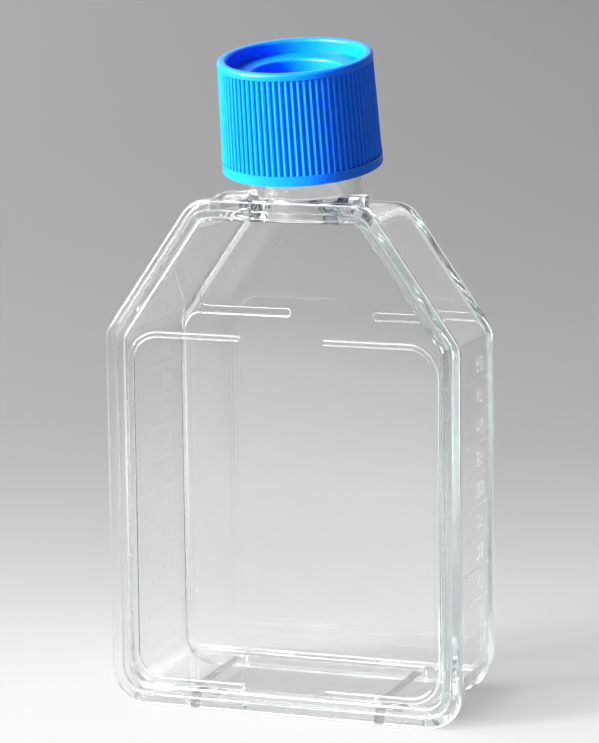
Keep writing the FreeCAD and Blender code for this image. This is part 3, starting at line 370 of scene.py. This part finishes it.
# %% Set the light paths
BOUNCES = 40
scene.cycles.caustics_refractive = False
scene.cycles.max_bounces = BOUNCES
scene.cycles.glossy_bounces = BOUNCES
scene.cycles.transmission_bounces = BOUNCES
scene.cycles.transparent_max_bounces = BOUNCES
print("bounces:", BOUNCES)

# %% [markdown]
# ## A shadow for clear plastic
#
# A ray tracer throws a black shadow behind a solid that bends light, because a ray that asks
# for a lamp goes straight and can't bend towards it. The remedy is to let only those rays
# through, with a tint, while all others meet the real plastic. Both clear finishes below
# need it, so it is a helper.


# %% Helper for a shadow that lets light through
def pass_lamp_rays(tree, output, plastic, tint):
    """Shows the plastic to every ray, except that rays to a lamp go through with a tint."""
    rays = node(tree, "ShaderNodeLightPath")
    open_way = node(tree, "ShaderNodeBsdfTransparent", Color=tint)
    mix = node(tree, "ShaderNodeMixShader", Fac=rays.outputs["Is Shadow Ray"],
               _1=plastic.outputs["BSDF"], _2=open_way.outputs["BSDF"])
    tree.links.new(mix.outputs["Shader"], output.inputs["Surface"])


print("helper for clear shadows: pass_lamp_rays")

# %% [markdown]
# ## Clear polystyrene
#
# The tray and the plate are moulded in polystyrene. It bends light strongly (index 1.59), and
# seen along its length it is very slightly green. A tint on the surface would colour thin
# walls as much as the rim, so an absorption fills the solid instead. The mould is polished,
# but gloves leave faint smudges: a broad noise makes some places a little rougher. A bump
# would do that too, but the long paths inside the rim magnify it until straight edges swim.
#
# In the shadow, a wall that the light meets squarely takes little of it, and one that it
# grazes takes most, as in real clear plastic. That draws the rim darker than the windows.

# %% Mix the clear plastic
POLYSTYRENE_INDEX = 1.59
SMUDGE_SCALE, SMUDGE_DETAIL = 70.0, 3.0
SMUDGE_LOW, SMUDGE_HIGH = 0.45, 0.75
POLISHED, SMUDGED = 0.008, 0.05
WHITE = (1.0, 1.0, 1.0, 1.0)

polystyrene, tree, output = new_material("clear_polystyrene")
place = node(tree, "ShaderNodeTexCoord")
smudge = node(tree, "ShaderNodeTexNoise", Vector=place.outputs["Object"], Scale=SMUDGE_SCALE,
              Detail=SMUDGE_DETAIL)
gloss = node(tree, "ShaderNodeMapRange", Value=smudge.outputs["Fac"], From_Min=SMUDGE_LOW,
             From_Max=SMUDGE_HIGH, To_Min=POLISHED, To_Max=SMUDGED)
clear = node(tree, "ShaderNodeBsdfPrincipled", Base_Color=WHITE,
             Roughness=gloss.outputs["Result"], IOR=POLYSTYRENE_INDEX, Transmission_Weight=1.0)
print("roughness from", POLISHED, "to", SMUDGED)

# %% Add its shadow and its depth, and put it on
INNER_TINT, INNER_DENSITY = (0.675, 0.735, 0.73, 1.0), 42.0
# from a wall that faces the light (0) to one seen edge-on (1), and how much passes
SHADOW_PASS = [(0.0, 0.975), (0.35, 0.955), (0.65, 0.82), (0.85, 0.30)]

slope = node(tree, "ShaderNodeLayerWeight", Blend=0.5)
pass_lamp_rays(tree, output, clear, ramp(tree, slope.outputs["Facing"], SHADOW_PASS))
depth = node(tree, "ShaderNodeVolumeAbsorption", Color=INNER_TINT, Density=INNER_DENSITY)
tree.links.new(depth.outputs["Volume"], output.inputs["Volume"])
for item in (flask_node, plate_node):
    for slot in item.material_slots:
        slot.material = polystyrene
print("clear plastic on:", flask_node.name, "and", plate_node.name)

# %% [markdown]
# ## The look of a raised number
#
# Plain numbers stand between the ridges that mark the volume on both side walls. On the real
# flask they are very low and melt into the wall, so they show only as faint strokes. Here
# they are thin solids of their own, and with the full index of polystyrene every edge would
# sparkle. A much lower index keeps them faint.

# %% Mix the numbers' finish
NUMBER_INDEX, NUMBER_ROUGHNESS = 1.08, 0.25

number_look, tree, output = new_material("raised_number")
shallow = node(tree, "ShaderNodeBsdfPrincipled", Base_Color=WHITE, Roughness=NUMBER_ROUGHNESS,
               IOR=NUMBER_INDEX, Transmission_Weight=1.0)
pass_lamp_rays(tree, output, shallow, WHITE)
print("index of the numbers:", NUMBER_INDEX)

# %% [markdown]
# ## Where the numbers stand
#
# The side walls draw in a little towards the back, as walls must to leave their mould, so a
# number can't stand at one fixed distance from the middle. The slope could be worked out from
# the drawing. A ray that is cast at the wall from outside finds the spot and the wall's
# direction without it, and stays right if the drawing changes.


# %% Find the side walls
OUTSIDE = 50.0 * MM
NUMBER_STATION = 5.67 * MM
MARK_FIRST, MARK_STEP = 6.48 * MM, 4.47 * MM


def side_wall(side, height):
    """The spot and the outward direction of a side wall: -1 is the left one, 1 the right."""
    start = Vector((side * OUTSIDE, NUMBER_STATION, height))
    _, spot, normal, _ = flask_node.ray_cast(start, Vector((-side, 0.0, 0.0)))
    return spot, normal


spot, normal = side_wall(1.0, MARK_FIRST + MARK_STEP / 2)
print("right wall mm from the middle:", round(spot.x / MM, 2))
print("degrees that it draws in:", round(math.degrees(math.asin(normal.y)), 1))

# %% [markdown]
# ## One number
#
# Figures could be drawn by hand, but a text object gives clean outlines with Blender's own
# font, and its extrusion gives them thickness. It stands square to the wall and reads from
# left to right for someone who looks at that side.


# %% Raise one number
NUMBER_SIZE = 2.9 * MM
NUMBER_SPACING = 1.25
NUMBER_THICKNESS = 0.04 * MM
NUMBER_LIFT = 0.05 * MM


def raised_number(words, side, height):
    """The mesh of a number on one side wall."""
    text = bpy.data.curves.new("number", "FONT")
    text.body = words
    text.size = NUMBER_SIZE
    text.align_x, text.align_y = "CENTER", "CENTER"
    text.space_character = NUMBER_SPACING
    text.extrude = NUMBER_THICKNESS
    maker = bpy.data.objects.new("number", text)
    mesh = bpy.data.meshes.new_from_object(maker)
    bpy.data.objects.remove(maker)
    spot, normal = side_wall(side, height)
    along = Vector((0.0, side, 0.0))
    along -= normal * along.dot(normal)
    along.normalize()
    rise = normal.cross(along)
    spot += normal * NUMBER_LIFT
    mesh.transform(Matrix((
        (along.x, rise.x, normal.x, spot.x),
        (along.y, rise.y, normal.y, spot.y),
        (along.z, rise.z, normal.z, spot.z),
        (0.0, 0.0, 0.0, 1.0))))
    return mesh


print("number mm high:", NUMBER_SIZE / MM)

# %% [markdown]
# ## All the numbers
#
# One number stands in the space above each ridge, and they count up by fives, the same on
# both walls. They belong to one moulding, so they are joined into one piece that rides on the
# flask.

# %% Put the numbers on
MARK_COUNT, MARK_WORTH = 10, 5

numbers = bmesh.new()
for index in range(MARK_COUNT):
    words = str(MARK_WORTH * (index + 1))
    for side in (-1.0, 1.0):
        numbers.from_mesh(raised_number(words, side, MARK_FIRST + (index + 0.5) * MARK_STEP))
number_mesh = bpy.data.meshes.new("graduation_numbers")
numbers.to_mesh(number_mesh)
numbers.free()
number_piece = bpy.data.objects.new("graduation_numbers", number_mesh)
scene.collection.objects.link(number_piece)
number_mesh.materials.append(number_look)
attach(number_piece, "flask")
print("number triangles:", sum(len(face.vertices) - 2 for face in number_mesh.polygons))

# %% [markdown]
# ## Blue polyethylene
#
# The cap is coloured right through. Polyethylene is waxy: it lets light in a little way and
# scatters it, and it takes a soft gloss from the mould with a fine grain on it. A plain
# colour would do at a distance. Close up, the slow drift of the pigment, the grain and the
# scattering keep it from looking painted.

# %% Grain and pigment of the cap
GRAIN_SCALE, GRAIN_DETAIL = 2600.0, 3.0
GRAIN_STRENGTH, GRAIN_DEPTH = 0.12, 0.00005
CLOUD_SCALE, CLOUD_DETAIL = 90.0, 2.0
PIGMENT = [(0.3, (0.0, 0.117, 0.71)), (0.7, (0.0, 0.135, 0.79))]

blue_plastic, tree, output = new_material("blue_polyethylene")
place = node(tree, "ShaderNodeTexCoord")
grain = node(tree, "ShaderNodeTexNoise", Vector=place.outputs["Object"], Scale=GRAIN_SCALE,
             Detail=GRAIN_DETAIL)
dimple = node(tree, "ShaderNodeBump", Height=grain.outputs["Fac"], Strength=GRAIN_STRENGTH,
              Distance=GRAIN_DEPTH)
cloud = node(tree, "ShaderNodeTexNoise", Vector=place.outputs["Object"], Scale=CLOUD_SCALE,
             Detail=CLOUD_DETAIL)
pigment = ramp(tree, cloud.outputs["Fac"], PIGMENT)
print("grain mm deep:", GRAIN_DEPTH / MM)

# %% Mix the blue plastic and put it on
POLYETHYLENE_INDEX = 1.51
CAP_ROUGHNESS, CAP_SHINE = 0.36, 0.15
WAX_SHARE, WAX_DEPTH = 0.15, 0.0012
WAX_REACH = (0.1, 0.4, 1.0)

wax = node(tree, "ShaderNodeBsdfPrincipled", Base_Color=pigment, Roughness=CAP_ROUGHNESS,
           IOR=POLYETHYLENE_INDEX, Normal=dimple.outputs["Normal"],
           Specular_IOR_Level=CAP_SHINE, Subsurface_Weight=WAX_SHARE,
           Subsurface_Radius=WAX_REACH, Subsurface_Scale=WAX_DEPTH)
tree.links.new(wax.outputs["BSDF"], output.inputs["Surface"])
for slot in cap_node.material_slots:
    slot.material = blue_plastic
print("blue plastic on:", cap_node.name)

# %% [markdown]
# ## The thread inside the cap
#
# The cap holds on by a right-handed ridge that winds half a pitch below the neck's thread. A
# screw modifier could wind it, but it would need a helper object for the leaning axis, and it
# would end bluntly. So the helix is swept one step at a time: each step turns a small trapezium
# about the neck's axis and lifts it by its share of the pitch. At both ends the ridge runs out
# into the bore, so that the mould's core can be unscrewed.

# %% Sizes of the thread, in millimetres
LEAN = math.radians(9.5)
AXIS_FOOT = Vector((0.0, 1.217, 72.9))
PITCH, TURNS = 3.2, 1.5
START_HEIGHT = 5.6
BORE, CREST = 9.05, 8.42
ROOT_SINK = 0.05
ROOT_HALF, CREST_HALF = 0.62, 0.25
STEPS_A_TURN, RUN_OUT = 96, 12

axis = Vector((0.0, -math.sin(LEAN), math.cos(LEAN)))
side_way = Vector((1.0, 0.0, 0.0))
rear_way = axis.cross(side_way)
steps = int(STEPS_A_TURN * TURNS)
print("the ridge stands", round(BORE - CREST, 2), "mm into the bore")


# %% Place one step of the ridge
def trapezium(step):
    """The four corners of the ridge's section at one step, from its lower root round."""
    turn = 2.0 * math.pi * step / STEPS_A_TURN
    outward = side_way * math.cos(turn) + rear_way * math.sin(turn)
    middle = START_HEIGHT + PITCH * step / STEPS_A_TURN
    share = min(1.0, (min(step, steps - step) + 1.0) / RUN_OUT)
    crest = BORE + (CREST - BORE) * share
    root = BORE + ROOT_SINK
    section = ((root, -ROOT_HALF), (crest, -CREST_HALF), (crest, CREST_HALF), (root, ROOT_HALF))
    return [(AXIS_FOOT + axis * (middle + rise * share) + outward * radius) * MM
            for radius, rise in section]


print("ridge mm above the table:", round(trapezium(0)[0].z / MM, 1), "at its start")

# %% Wind the ridge and fit it in the cap
helix = bmesh.new()
rings = [[helix.verts.new(corner) for corner in trapezium(step)] for step in range(steps + 1)]
for before, after in zip(rings, rings[1:]):
    for index in range(4):
        helix.faces.new((before[index], before[index - 1], after[index - 1], after[index]))
helix.faces.new(rings[0])
helix.faces.new(reversed(rings[-1]))
bmesh.ops.recalc_face_normals(helix, faces=helix.faces)

thread_mesh = bpy.data.meshes.new("cap_thread")
helix.to_mesh(thread_mesh)
helix.free()
thread_piece = bpy.data.objects.new("cap_thread", thread_mesh)
scene.collection.objects.link(thread_piece)
thread_mesh.materials.append(blue_plastic)
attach(thread_piece, "cap")
print("thread mm up the neck:", START_HEIGHT, "to", START_HEIGHT + PITCH * TURNS)

# %% [markdown]
# ## The view
#
# The Standard view shows a colour about as it is written, where a filmic one would soften
# the blue.

# %% Set the view
scene.view_settings.view_transform = "Standard"
